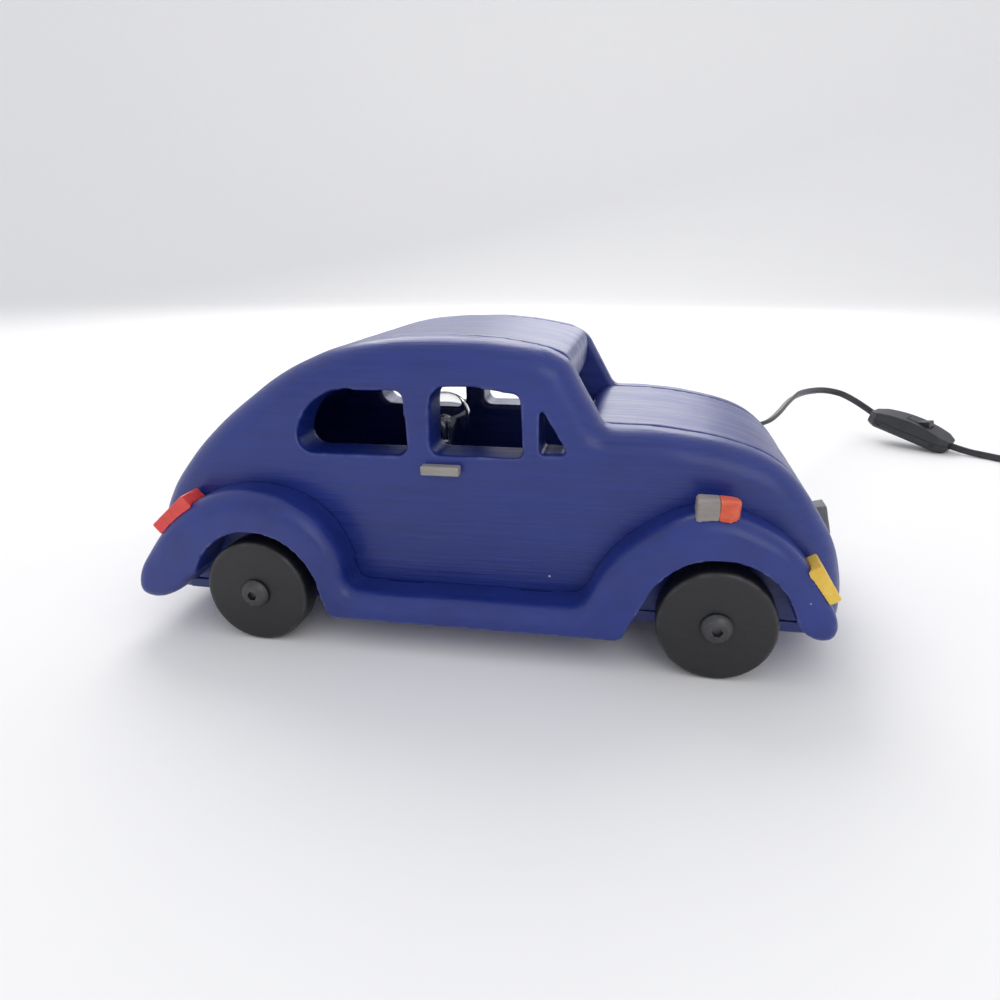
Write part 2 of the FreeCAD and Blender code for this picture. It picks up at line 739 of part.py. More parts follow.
def bonnet_handle_block(panel):
    """Handle block low on the nose, fitted to the bonnet panel."""
    near = flat(body_point(BONNET_HANDLE_SHARE))
    parameter = bonnet_curve.parameter(near)
    tangent = bonnet_curve.tangent(parameter)[0]
    return block(bonnet_handle, bonnet_curve.value(parameter), Vector(-tangent.z, 0, tangent.x),
                 0.0).cut(panel)


# ---------------------------------------------------------------- lamp holder and bulb
def upright(radius, low, high, x=lamp_x):
    """Upright round rod in the middle of the car."""
    return rod(radius, Vector(x, 0, low), Vector(0, 0, 1), high - low)


def turned(profile, x=lamp_x):
    """Solid turned about the lamp's axis from points (radius, z)."""
    face = Part.Face(Part.makePolygon([Vector(radius, 0, z) for radius, z in profile + profile[:1]]))
    solid = face.revolve(Vector(0, 0, 0), Vector(0, 0, 1), 360)
    solid.translate(Vector(x, 0, 0))
    return solid


def bracket_screws():
    """Two small round head screws that hold the bracket on the base board."""
    screws = []
    for x in (lamp_x - bracket_screw_x, lamp_x + bracket_screw_x):
        shank = upright(screw_radius, ground_clearance + 0.5, holder_z, x)
        screws.append(shank.fuse(upright(1.6 * screw_radius, holder_z, holder_z + 1.5, x)))
    return screws


def lamp_bracket():
    """Round plate under the lamp holder."""
    return drilled(upright(bracket_radius, base_top, holder_z), bracket_screws())


def holder_shell(flex):
    """Outer shell of the lamp holder: a cup with a lip round the cap, and a hole for the flex."""
    solid = upright(holder_radius, holder_z, holder_top)
    solid = solid.cut(upright(holder_radius - holder_wall, holder_z + holder_wall, holder_top - holder_lip))
    return solid.cut(upright(cap_radius + cap_clearance, holder_top - holder_lip, holder_top)).cut(flex)


def holder_core(flex):
    """Insulating core with the socket that the cap screws into."""
    solid = upright(holder_radius - holder_wall, holder_z + holder_wall, holder_top - holder_lip)
    socket = upright(cap_radius + cap_clearance, cap_z - insulator_height - tip_height - contact_height,
                     holder_top - holder_lip)
    return solid.cut(socket).cut(flex)


def holder_contact():
    """Brass disc at the bottom of the socket, under the bulb's tip."""
    top = cap_z - insulator_height - tip_height
    return upright(cap_radius + cap_clearance, top - contact_height, top)


def bulb_cap():
    """Thin metal cap, open at the top and bottom."""
    shell = upright(cap_radius, cap_z, cap_z + cap_length)
    return shell.cut(upright(cap_radius - cap_wall, cap_z, cap_z + cap_length))


def bulb_insulator():
    """Dark glass cone under the cap, with a plug of it inside."""
    low = cap_z - insulator_height
    return turned([(0, low), (0.45 * cap_radius, low), (cap_radius, cap_z), (cap_radius - cap_wall, cap_z),
                   (cap_radius - cap_wall, cap_z + 2.0), (0, cap_z + 2.0)])


def bulb_tip():
    """Solder contact at the very bottom."""
    low = cap_z - insulator_height - tip_height
    return turned([(0, low), (0.25 * cap_radius, low), (0.38 * cap_radius, low + tip_height),
                   (0, low + tip_height)])


def bulb_profile(inset):
    """Side curve of the bulb from its neck to its crown, a fixed depth inside the glass, as points
    (radius, z)."""
    neck = cap_radius - cap_wall - inset
    neck_z = cap_z + 3.0
    centre_z = bulb_top - bulb_radius
    radius = bulb_radius - inset
    shoulder = [(neck, neck_z), (neck, cap_z + cap_length)]
    swell = [(radius - (radius - neck) * (0.5 + 0.5 * math.cos(math.pi * step / 8.0)),
              shoulder[1][1] + (centre_z - shoulder[1][1]) * step / 8.0) for step in range(1, 8)]
    dome = [(radius * math.cos(math.radians(angle)), centre_z + radius * math.sin(math.radians(angle)))
            for angle in range(0, 90, 15)]
    return shoulder + swell + dome + [(0.0, centre_z + radius)]


def bulb_body(inset):
    """Solid of revolution inside the bulb's side curve: straight neck, then one smooth curve to the crown."""
    points = [Vector(radius, 0, z) for radius, z in bulb_profile(inset)]
    curve = Part.BSplineCurve()
    curve.interpolate(points[1:], False)
    edges = [Part.LineSegment(points[0], points[1]).toShape(), curve.toShape(),
             Part.LineSegment(points[-1], Vector(0, 0, points[0].z)).toShape(),
             Part.LineSegment(Vector(0, 0, points[0].z), points[0]).toShape()]
    solid = Part.Face(Part.Wire(edges)).revolve(Vector(0, 0, 0), Vector(0, 0, 1), 360)
    solid.translate(Vector(lamp_x, 0, 0))
    return solid


def bulb_glass():
    """Clear glass envelope."""
    return bulb_body(0.0).cut(bulb_body(bulb_wall))


def bulb_stem():
    """Glass stem that carries the filament's wires."""
    low = cap_z + 3.0
    top = cap_z + cap_length + stem_height
    foot = cap_radius - cap_wall - bulb_wall
    return turned([(0, low), (foot, low), (foot, low + 2.0), (stem_radius, low + 6.0), (stem_radius, top),
                   (0, top)])


def bulb_filament():
    """Two wires up from the stem and the filament's arc between them."""
    low = cap_z + cap_length + stem_height
    high = low + filament_rise
    half = filament_spread / 2.0
    points = [Vector(lamp_x - 0.5 * half, 0, low), Vector(lamp_x - half, 0, high),
              Vector(lamp_x + half, 0, high),
              Vector(lamp_x + 0.5 * half, 0, low)]
    wires = [rod(filament_radius, points[0], points[1] - points[0], (points[1] - points[0]).Length),
             rod(filament_radius, points[3], points[2] - points[3], (points[2] - points[3]).Length)]
    arch = Part.Wire([Part.Arc(points[1], Vector(lamp_x, 0, high + 0.4 * half), points[2]).toShape()])
    start = Part.Circle(points[1], Vector(0.6, 0, 0.8), 1.4 * filament_radius).toShape()
    return wires[0].fuse(wires[1]).fuse(arch.makePipeShell([Part.Wire([start])], True, False))


# ---------------------------------------------------------------- lead
def lead_tube(points, name):
    """Round tube of the lead's width along straight runs joined by the largest tangent arcs."""
    points = [Vector(*point) for point in points]
    edges, at, radii = [], points[0], []
    for before, here, after in zip(points, points[1:], points[2:]):
        back, ahead = (before - here), (after - here)
        reach = 0.45 * min(back.Length, ahead.Length)
        half_turn = (math.pi - back.getAngle(ahead)) / 2.0
        radius = reach / math.tan(half_turn)
        back.normalize()
        ahead.normalize()
        bulge = here + (back + ahead).normalize() * (radius / math.cos(half_turn) - radius)
        edges.append(Part.LineSegment(at, here + back * reach).toShape())
        edges.append(Part.Arc(here + back * reach, bulge, here + ahead * reach).toShape())
        at = here + ahead * reach
        radii.append(round(radius))
    edges.append(Part.LineSegment(at, points[-1]).toShape())
    path = Part.Wire(edges)
    ring_edge = Part.Circle(points[0], points[1] - points[0], lead_radius).toShape()
    solid = path.makePipeShell([Part.Wire([ring_edge])], True, False)
    expected = math.pi * lead_radius ** 2 * path.Length
    print(name, "length", round(path.Length, 1), "radii", radii, "volume ratio",
          round(solid.Volume / expected, 4))
    return solid


def strain_relief(leads):
    """Tapered sleeve that holds the lead in the left side board."""
    tip_radius = lead_radius + relief_tip_wall
    profile = [(0, inner_face), (relief_sleeve_radius, inner_face), (relief_sleeve_radius, half_width),
               (relief_flange_radius, half_width), (relief_flange_radius, half_width + relief_flange_height),
               (relief_sleeve_radius, half_width + relief_flange_height), (tip_radius, relief_tip_y),
               (0, relief_tip_y)]
    face = Part.Face(Part.makePolygon([Vector(radius, y, 0) for radius, y in profile + profile[:1]]))
    solid = face.revolve(Vector(0, 0, 0), Vector(0, 1, 0), 360)
    solid.translate(Vector(relief_x, 0, relief_z))
    return drilled(solid, leads)


def coil():
    """Outer shape of the put-away turns: a flat ring on its tie."""
    base = Vector(coil_x, coil_y, tie_thickness)
    return ring(coil_outer, coil_mean_radius - coil_band / 2.0, base, Vector(0, 0, 1), coil_height)


def coil_tie(coil_solid):
    """Thin band round the turns at one place."""
    across = coil_band + 2.0 * tie_thickness
    band = Part.makeBox(across, tie_width, coil_height + 2.0 * tie_thickness,
                        Vector(coil_mean_radius - across / 2.0, -tie_width / 2.0, 0))
    hollow = Part.makeBox(coil_band, tie_width, coil_height,
                          Vector(coil_mean_radius - coil_band / 2.0, -tie_width / 2.0, tie_thickness))
    band = band.cut(hollow)
    band.rotate(Vector(0, 0, 0), Vector(0, 0, 1), tie_angle)
    band.translate(Vector(coil_x, coil_y, 0))
    return band.cut(coil_solid)


# ---------------------------------------------------------------- switch, drawn level about its parting
def switch_plan(inset, low, high):
    """Eight sided block in plan, a fixed depth inside the switch's outline."""
    length, width = switch_length / 2.0 - inset, switch_width / 2.0 - inset
    end = switch_end_width / 2.0 - inset / 2.0
    flat_end = switch_length / 2.0 - switch_shoulder - inset / 2.0
    points = [(length, end), (flat_end, width), (-flat_end, width), (-length, end), (-length, -end),
              (-flat_end, -width), (flat_end, -width), (length, -end), (length, end)]
    face = Part.Face(Part.makePolygon([Vector(x, y, low) for x, y in points]))
    return face.extrude(Vector(0, 0, high - low))


def cover_form(inset):
    """Crowned upper half, a fixed depth inside the cover."""
    half = switch_length / 2.0
    crown, end = cover_height - inset, cover_end_height - inset
    edges = [arc((-half, end), (0, crown), (half, end)), line((half, end), (half, 0)),
             line((half, 0), (-half, 0)),
             line((-half, 0), (-half, end))]
    return switch_plan(inset, 0.0, cover_height).common(board(edges, -switch_width, switch_width))


def rocker_pivot():
    """The rocker's pin, from the middle of the switch."""
    return Vector(rocker_x, 0, cover_height - rocker_pin_drop)


def rocker_pin():
    """Steel pin through the rocker and the cover's two cheeks."""
    half = rocker_width / 2.0 + rocker_gap + cheek_width
    return rod(rocker_pin_radius, rocker_pivot() - Vector(0, half, 0), Vector(0, 1, 0), 2.0 * half)


def switch_cover():
    """Upper shell with the rocker's opening, the cheeks for its pin and two screw posts."""
    inside = cover_form(shell_wall)
    pivot = rocker_pivot()
    length, width = 2.0 * (rocker_radius + rocker_gap), rocker_width + 2.0 * rocker_gap
    opening = Part.makeBox(length, width, 2.0 * cover_height,
                           Vector(pivot.x - length / 2.0, -width / 2.0, 0.5))
    solid = cover_form(0.0)
    solid = solid.cut(inside)
    cheeks = Part.makeBox(cheek_length, width + 2.0 * cheek_width, cover_height,
                          Vector(pivot.x - cheek_length / 2.0, -width / 2.0 - cheek_width, pivot.z - 3.5))
    posts = [rod(post_radius, Vector(x, 0, 0), Vector(0, 0, 1), cover_height) for x in (-post_x, post_x)]
    for piece in [cheeks] + posts:
        solid = solid.fuse(piece.common(inside))
    return drilled(solid.cut(opening), [rocker_pin()] + switch_screws())


def switch_base():
    """Lower shell: a tray with chamfered foot, two screw posts and a pair of small notches in each side."""
    solid = switch_plan(0.0, -base_shell_height, 0.0)
    foot = [edge for edge in solid.Edges if edge.BoundBox.ZMax < -base_shell_height + 0.01]
    solid = solid.makeChamfer(base_shell_chamfer, foot)
    solid = solid.cut(switch_plan(shell_wall, -base_shell_height + shell_wall, 0.0))
    for x in (-post_x, post_x):
        solid = solid.fuse(rod(post_radius, Vector(x, 0, -base_shell_height + shell_wall), Vector(0, 0, 1),
                               base_shell_height - shell_wall))
        for side in (-1, 1):
            notch = Part.makeBox(4.0, 2.0, 2.0, Vector(x - 2.0, side * switch_width / 2.0 - 1.0, -3.5))
            solid = solid.cut(notch)
    return drilled(solid, switch_screws())


def switch_screws():
    """Two screws from below that hold the shells together."""
    head_radius, head_height = switch_screw_head
    screws = []
    for x in (-post_x, post_x):
        start = Vector(x, 0, -base_shell_height)
        head = rod(head_radius, start, Vector(0, 0, 1), head_height)
        shank = rod(switch_screw_radius, start, Vector(0, 0, 1), base_shell_height + switch_screw_grip)
        screws.append(head.fuse(shank).removeSplitter())
    return screws


def switch_terminals():
    """Two brass terminal blocks on the floor of the base shell."""
    length, width, height = terminal
    return [Part.makeBox(length, width, height,
                         Vector(x - length / 2.0, -width / 2.0, -base_shell_height + shell_wall))
            for x in (-terminal_x, terminal_x)]


def switch_rocker():
    """Rocker with a shallow V on top, one end down against the cover."""
    slope = math.tan(math.radians(rocker_tilt))
    a, b, c = 1.0 + slope ** 2, 2.0 * rocker_ridge * slope, rocker_ridge ** 2 - rocker_radius ** 2
    end_x = (-b + math.sqrt(b * b - 4.0 * a * c)) / (2.0 * a)
    end_z = rocker_ridge + end_x * slope
    foot_x = math.sqrt(rocker_radius ** 2 - rocker_depth ** 2)
    edges = [line((0, rocker_ridge), (end_x, end_z)),
             arc((end_x, end_z), (rocker_radius, 0), (foot_x, -rocker_depth)),
             line((foot_x, -rocker_depth), (-foot_x, -rocker_depth)),
             arc((-foot_x, -rocker_depth), (-rocker_radius, 0), (-end_x, end_z)),
             line((-end_x, end_z), (0, rocker_ridge))]
    solid = board(edges, -rocker_width / 2.0, rocker_width / 2.0)
    bore = rod(rocker_pin_radius + bore_clearance, Vector(0, -rocker_width, 0), Vector(0, 1, 0),
               2.0 * rocker_width)
    solid = solid.cut(bore)
    solid.rotate(Vector(0, 0, 0), Vector(0, 1, 0), -rocker_tilt)
    solid.translate(rocker_pivot())
    return solid


def switch_height():
    """Height of the switch's middle when the chamfer at its low end rests on the ground."""
    pitch = math.radians(switch_pitch)
    return (switch_length / 2.0 - base_shell_chamfer) * math.sin(pitch) + base_shell_height * math.cos(pitch)


def on_switch(point):
    """A point of the level switch, where the switch lies."""
    tilt = FreeCAD.Rotation(Vector(0, 0, 1),
                            switch_yaw).multiply(FreeCAD.Rotation(Vector(0, 1, 0), switch_pitch))
    return tilt.multVec(point) + Vector(switch_x, switch_y, switch_height())


def laid(shape):
    """A piece of the level switch, moved to where the switch lies."""
    shape.rotate(Vector(0, 0, 0), Vector(0, 1, 0), switch_pitch)
    shape.rotate(Vector(0, 0, 0), Vector(0, 0, 1), switch_yaw)
    shape.translate(Vector(switch_x, switch_y, switch_height()))
    return shape


# ---------------------------------------------------------------- plug, drawn along +X from the tip of its
# relief
def plug_body():
    """Flat two-pin plug with its tapered strain relief."""
    rear, front = plug_relief_length, plug_relief_length + plug_length
    shoulder = rear + 0.45 * plug_length
    low = -plug_height / 2.0
    half, narrow = plug_width / 2.0, plug_rear_width / 2.0
    points = [(rear, -narrow), (shoulder, -half), (front, -half), (front, half), (shoulder, half),
              (rear, narrow)]
    face = Part.Face(Part.makePolygon([Vector(x, y, low) for x, y in points + points[:1]]))
    solid = face.extrude(Vector(0, 0, plug_height))
    rims = [edge for edge in solid.Edges if edge.BoundBox.ZLength > 1.0 or edge.BoundBox.XMin < front - 1.0]
    solid = solid.makeFillet(plug_round, rims)
    relief = Part.makeCone(lead_radius + relief_tip_wall, plug_relief_radius, plug_relief_length + plug_round,
                           Vector(0, 0, 0), Vector(1, 0, 0))
    return drilled(solid.fuse(relief), plug_pins())


def plug_pins():
    """Two round pins."""
    start = plug_relief_length + plug_length - plug_pin_grip
    return [rod(plug_pin_radius, Vector(start, side * plug_pin_spacing / 2.0, 0), Vector(1, 0, 0),
                plug_pin_grip + plug_pin_length) for side in (-1, 1)]


def beside_coil(shape):
    """A piece of the plug, moved to where the last turn leaves the coil."""
    around = math.radians(plug_angle)
    radius = coil_outer - lead_thickness / 2.0
    heading = Vector(math.sin(around), -math.cos(around), 0)
    leave = Vector(coil_x + radius * math.cos(around), coil_y + radius * math.sin(around), plug_height / 2.0)
    shape.rotate(Vector(0, 0, 0), Vector(0, 0, 1), math.degrees(math.atan2(heading.y, heading.x)))
    shape.translate(leave + heading * plug_start)
    return shape


def put_body():
    """Side boards, panels, base board, fender boards and the blocks on them."""
    side, fender, bonnet = side_board(), fender_board(), bonnet_panel()
    relief_hole = rod(relief_sleeve_radius, Vector(relief_x, inner_face, relief_z), Vector(0, 1, 0),
                      side_board_width)
    put("side_board_right", side)
    put("side_board_left", mirrored(side).cut(relief_hole))
    put("roof_panel", roof_panel())
    put("bonnet_panel", bonnet)
    put("base_board", base_board())
    base, lens = indicator_parts(fender)
    pieces = {"fender_board": fender, "door_handle": door_handle_block(), "indicator_base": base,
              "indicator_lens": lens,
              "headlight": fender_block(headlight, FRONT_FENDER, front_axle_x, headlight_angle, headlight_y,
                                        fender),
              "tail_light": fender_block(tail_light, REAR_FENDER, rear_axle_x, tail_light_angle,
                                         tail_light_y, fender)}
    for name, shape in pieces.items():
        put(name + "_right", shape)
        put(name + "_left", mirrored(shape))
    put("bonnet_handle", bonnet_handle_block(bonnet))
    put("panel_dowels", Part.makeCompound(both_sides(panel_dowels())))
    put("fender_dowels", Part.makeCompound(both_sides(fender_dowels())))
    put("base_screws", Part.makeCompound(both_sides(base_screws())))


def put_running_gear():
    """Wheels with their bolts, nuts and washers."""
    outer_nuts, inner_nuts, outer_washers, inner_washers = [], [], [], []
    for name, x in (("front", front_axle_x), ("rear", rear_axle_x)):
        for piece, shape in (("wheel", wheel(x)), ("wheel_bolt", wheel_bolt(x))):
            put("%s_%s_right" % (piece, name), shape)
            put("%s_%s_left" % (piece, name), mirrored(shape))
        outer_nuts.append(nut(x, lock_nut_y()))
        wheel_side = -wheel_inner + wheel_side_gap
        outer_washers.append(washer(washer_radius, x, wheel_side, lock_nut_y() - wheel_side))
        inner_washers.append(washer(board_washer_radius, x, -inner_face, washer_height))
        inner_nuts.append(nut(x, -inner_face + washer_height))
    groups = {"lock_nuts": outer_nuts, "wheel_washers": outer_washers, "board_washers": inner_washers,
              "clamp_nuts": inner_nuts}
    for name, shapes in groups.items():
        put(name, Part.makeCompound(both_sides(shapes)))


def put_lamp(flex):
    """Lamp holder on its bracket, and the bulb."""
    put("lamp_bracket", lamp_bracket())
    put("bracket_screws", Part.makeCompound(bracket_screws()))
    put("holder_shell", holder_shell(flex))
    put("holder_core", holder_core(flex))
    put("holder_contact", holder_contact())
    put("bulb_glass", bulb_glass())
    put("bulb_stem", bulb_stem())
    put("bulb_filament", bulb_filament())
    put("bulb_cap", bulb_cap())
    put("bulb_insulator", bulb_insulator())
    put("bulb_tip", bulb_tip())


def put_lead(flex):
    """Flex, strain relief, lead, switch, coil and plug."""
    inside = switch_length / 2.0 - lead_entry
    to_switch = LEAD_TO_SWITCH + [tuple(on_switch(Vector(-inside, 0, 0)))]
    to_coil = [tuple(on_switch(Vector(inside, 0, 0)))] + LEAD_TO_COIL
    print("lead ends in the switch", to_switch[-1], to_coil[0])
    coil_solid = coil()
    first, second = lead_tube(to_switch, "lead_lamp_to_switch"), lead_tube(to_coil, "lead_switch_to_coil")
    put("inner_flex", flex)
    put("strain_relief", strain_relief([flex, first]))
    put("lead_lamp_to_switch", first)
    put("lead_switch_to_coil", second.cut(coil_solid))
    put("lead_coil", coil_solid)
    put("coil_tie", coil_tie(coil_solid))
    put("switch_cover", drilled(laid(switch_cover()), [first, second]))
    put("switch_base", drilled(laid(switch_base()), [first, second]))
    put("switch_rocker", laid(switch_rocker()))
    put("rocker_pin", laid(rocker_pin()))
    put("switch_screws", Part.makeCompound([laid(screw) for screw in switch_screws()]))
    put("switch_terminals", Part.makeCompound([laid(piece) for piece in switch_terminals()]))
    put("plug_body", beside_coil(plug_body()).cut(coil_solid))
    put("plug_pins", Part.makeCompound([beside_coil(pin) for pin in plug_pins()]))
    axis = on_switch(rocker_pivot() + Vector(0, 1, 0)) - on_switch(rocker_pivot())
    print("rocker joint", tuple(on_switch(rocker_pivot())), tuple(axis))


if __name__ == "__main__":
    inner_flex = lead_tube(FLEX_ROUTE, "inner_flex")
    put_body()
    put_running_gear()
    put_lamp(inner_flex)
    put_lead(inner_flex)
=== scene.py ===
"""Looks of the wooden car table lamp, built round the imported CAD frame. Metres, same frame as the CAD."""
import json
import math

import bmesh
import bpy
import numpy as np
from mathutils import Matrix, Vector, noise

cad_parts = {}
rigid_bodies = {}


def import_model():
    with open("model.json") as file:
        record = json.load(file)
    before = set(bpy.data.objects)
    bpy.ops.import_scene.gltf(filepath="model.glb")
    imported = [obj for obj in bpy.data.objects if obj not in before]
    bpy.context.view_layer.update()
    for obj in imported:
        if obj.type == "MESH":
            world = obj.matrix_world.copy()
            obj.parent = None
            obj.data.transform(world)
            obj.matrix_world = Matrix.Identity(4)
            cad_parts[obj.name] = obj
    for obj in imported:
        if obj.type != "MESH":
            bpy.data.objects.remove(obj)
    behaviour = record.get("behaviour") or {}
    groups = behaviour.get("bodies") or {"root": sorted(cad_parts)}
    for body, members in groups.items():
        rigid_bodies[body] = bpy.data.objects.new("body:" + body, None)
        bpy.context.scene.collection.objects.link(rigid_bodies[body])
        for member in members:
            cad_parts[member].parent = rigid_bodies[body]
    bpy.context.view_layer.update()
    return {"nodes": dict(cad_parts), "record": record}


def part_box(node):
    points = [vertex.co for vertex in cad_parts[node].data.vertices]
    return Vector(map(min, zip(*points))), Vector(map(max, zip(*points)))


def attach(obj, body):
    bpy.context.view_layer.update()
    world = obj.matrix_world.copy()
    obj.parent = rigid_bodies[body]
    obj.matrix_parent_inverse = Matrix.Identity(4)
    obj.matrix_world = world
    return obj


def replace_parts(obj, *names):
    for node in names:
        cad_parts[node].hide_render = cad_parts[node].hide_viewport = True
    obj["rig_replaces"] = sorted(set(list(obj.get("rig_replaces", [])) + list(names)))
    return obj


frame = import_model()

MM = 0.001

# ---------------------------------------------------------------- camera
CAMERA_PLACE = Vector((0.07125, -0.3605, 0.17475))
CAMERA_YAW, CAMERA_PITCH, CAMERA_ROLL = 11.48, 19.27, -1.11    # degrees
LENS = 25.81                                                   # on a 36 mm sensor


def make_camera():
    """Camera at the photograph's angle."""
    yaw, pitch, roll = (math.radians(angle) for angle in (CAMERA_YAW, CAMERA_PITCH, CAMERA_ROLL))
    back = Vector((math.sin(yaw) * math.cos(pitch), -math.cos(yaw) * math.cos(pitch), math.sin(pitch)))
    right = (-back).cross(Vector((0, 0, 1))).normalized()
    up = back.cross(right)
    across = right * math.cos(roll) + up * math.sin(roll)
    upward = up * math.cos(roll) - right * math.sin(roll)
    camera = bpy.data.objects.new("camera", bpy.data.cameras.new("camera"))
    camera.data.lens, camera.data.sensor_width = LENS, 36.0
    camera.data.clip_start, camera.data.clip_end = 0.01, 20.0
    matrix = camera.matrix_world.to_3x3()
    matrix.col[0], matrix.col[1], matrix.col[2] = across, upward, back
    camera.matrix_world = matrix.to_4x4()
    camera.location = CAMERA_PLACE
    bpy.context.scene.collection.objects.link(camera)
    bpy.context.scene.camera = camera


# ---------------------------------------------------------------- node helpers
class Graph:
    """A material's node tree, with short ways to add what the materials here use."""

    def __init__(self, name):
        self.material = bpy.data.materials.new(name)
        self.material.use_nodes = True
        self.tree = self.material.node_tree
        self.tree.nodes.clear()
        self.shader = self.add("ShaderNodeBsdfPrincipled")
        output = self.add("ShaderNodeOutputMaterial")
        self.join(self.shader.outputs[0], output.inputs["Surface"])
        self.place = self.add("ShaderNodeTexCoord").outputs["Object"]

    def add(self, kind, **settings):
        node = self.tree.nodes.new(kind)
        for key, value in settings.items():
            setattr(node, key, value)
        return node

    def join(self, output, socket):
        self.tree.links.new(output, socket)

    def feed(self, socket, value):
        if isinstance(value, bpy.types.NodeSocket):
            self.join(value, socket)
        else:
            socket.default_value = value

    def noise(self, scale, detail=3.0, stretch=(1, 1, 1), rough=0.5, offset=0.0):
        mapping = self.add("ShaderNodeMapping")
        mapping.inputs["Scale"].default_value = stretch
        mapping.inputs["Location"].default_value = (offset, offset, offset)
        self.join(self.place, mapping.inputs["Vector"])
        texture = self.add("ShaderNodeTexNoise")
        texture.inputs["Scale"].default_value = scale
        texture.inputs["Detail"].default_value = detail
        texture.inputs["Roughness"].default_value = rough
        self.join(mapping.outputs[0], texture.inputs["Vector"])
        return texture.outputs["Fac"]

    def specks(self, scale, size, offset=0.0):
        """1 inside small scattered specks, 0 elsewhere."""
        mapping = self.add("ShaderNodeMapping")
        mapping.inputs["Location"].default_value = (offset, offset, offset)
        self.join(self.place, mapping.inputs["Vector"])
        texture = self.add("ShaderNodeTexVoronoi")
        texture.inputs["Scale"].default_value = scale
        self.join(mapping.outputs[0], texture.inputs["Vector"])
        return self.ramp(texture.outputs["Distance"], [(size * 0.7, 1.0), (size, 0.0)])

    def ramp(self, value, stops):
        """Value through a ramp of (position, grey or colour)."""
        node = self.add("ShaderNodeValToRGB")
        ramp = node.color_ramp
        while len(ramp.elements) < len(stops):
            ramp.elements.new(0.5)
        for element, (position, colour) in zip(ramp.elements, stops):
            element.position = position
            element.color = (colour, colour, colour, 1.0) if isinstance(colour, float) else (*colour, 1.0)
        self.join(value, node.inputs["Fac"])
        return node.outputs["Color"]

    def math(self, operation, a, b=0.0):
        node = self.add("ShaderNodeMath", operation=operation)
        self.feed(node.inputs[0], a)
        self.feed(node.inputs[1], b)
        return node.outputs[0]

    def mix(self, share, a, b, blend="MIX"):
        node = self.add("ShaderNodeMix", data_type="RGBA", blend_type=blend)
        self.feed(node.inputs["Factor"], share)
        for socket, value in ((node.inputs[6], a), (node.inputs[7], b)):
            self.feed(socket, value if isinstance(value, bpy.types.NodeSocket) else (*value, 1.0))
        return node.outputs[2]

    def edges(self, low=0.50, high=0.58):
        """1 along convex edges, 0 on flats."""
        return self.ramp(self.add("ShaderNodeNewGeometry").outputs["Pointiness"], [(low, 0.0), (high, 1.0)])

    def bump(self, height, strength, distance, normal=None):
        node = self.add("ShaderNodeBump")
        node.inputs["Strength"].default_value = strength
        node.inputs["Distance"].default_value = distance
        self.join(height, node.inputs["Height"])
        if normal is not None:
            self.join(normal, node.inputs["Normal"])
        return node.outputs[0]

    def set(self, **values):
        names = {"colour": "Base Color", "rough": "Roughness", "metal": "Metallic", "normal": "Normal",
                 "coat": "Coat Weight", "coat_rough": "Coat Roughness", "specular": "Specular IOR Level",
                 "ior": "IOR", "glass": "Transmission Weight"}
        for key, value in values.items():
            socket = self.shader.inputs[names[key]]
            if key == "colour" and not isinstance(value, bpy.types.NodeSocket):
                value = (*value, 1.0)
            self.feed(socket, value)
        return self.material


# ---------------------------------------------------------------- materials
def brushed_paint(name, deep, fair, stroke, rough=(0.30, 0.48), worn=(0.42, 0.44, 0.55), wear=0.35, seed=0.0,
                  coat=0.18):
    """Satin paint laid on wood with a brush: strokes, cloudy thickness, worn edges, a few dust specks."""
    g = Graph(name)
    strokes = g.noise(1.0, 4.0, stroke, 0.65, seed)
    hairs = g.noise(1.0, 2.0, tuple(3.2 * s for s in stroke), 0.5, seed + 3.0)
    clouds = g.noise(26.0, 3.0, (1, 1, 1), 0.55, seed + 7.0)
    grain = g.noise(900.0, 2.0, (1, 1, 1), 0.6, seed)
    tone = g.mix(g.ramp(strokes, [(0.34, 0.0), (0.68, 1.0)]), deep, fair)
    tone = g.mix(g.math("MULTIPLY", g.ramp(clouds, [(0.35, 0.0), (0.75, 1.0)]), 0.45), tone,
                 tuple(1.25 * c for c in fair))
    patches = g.ramp(g.noise(160.0, 4.0, offset=seed), [(0.40, 0.0), (0.62, 1.0)])
    rub = g.math("MULTIPLY", g.edges(0.515, 0.60), patches)
    tone = g.mix(g.math("MULTIPLY", rub, wear), tone, worn)
    dusty = g.ramp(g.noise(11.0, offset=seed), [(0.55, 0.0), (0.6, 1.0)])
    dust = g.math("MULTIPLY", g.specks(70.0, 0.045, seed), dusty)
    tone = g.mix(g.math("MULTIPLY", dust, 0.6), tone, (0.72, 0.72, 0.76))
    height = g.math("ADD", g.math("MULTIPLY", strokes, 0.6), g.math("MULTIPLY", hairs, 0.4))
    normal = g.bump(height, 0.55, 0.00045)
    normal = g.bump(grain, 0.10, 0.00012, normal)
    low, high = rough
    return g.set(colour=tone, normal=normal, coat=coat, coat_rough=0.22,
                 rough=g.ramp(strokes, [(0.3, low), (0.7, high)]))


def steel(name, colour, rough=0.42):
    """Worn, oily steel with fine scratches."""
    g = Graph(name)
    scratches = g.noise(1.0, 3.0, (260, 2600, 260), 0.6)
    tone = g.mix(g.ramp(scratches, [(0.35, 0.0), (0.7, 1.0)]), tuple(0.7 * c for c in colour), colour)
    tone = g.mix(g.math("MULTIPLY", g.edges(0.52, 0.62), 0.5), tone, tuple(min(1.0, 2.2 * c) for c in colour))
    grain = g.noise(2400.0, 2.0)
    return g.set(colour=tone, metal=0.85, rough=g.ramp(grain, [(0.2, rough - 0.1), (0.8, rough + 0.12)]),
                 normal=g.bump(grain, 0.15, 0.0001))


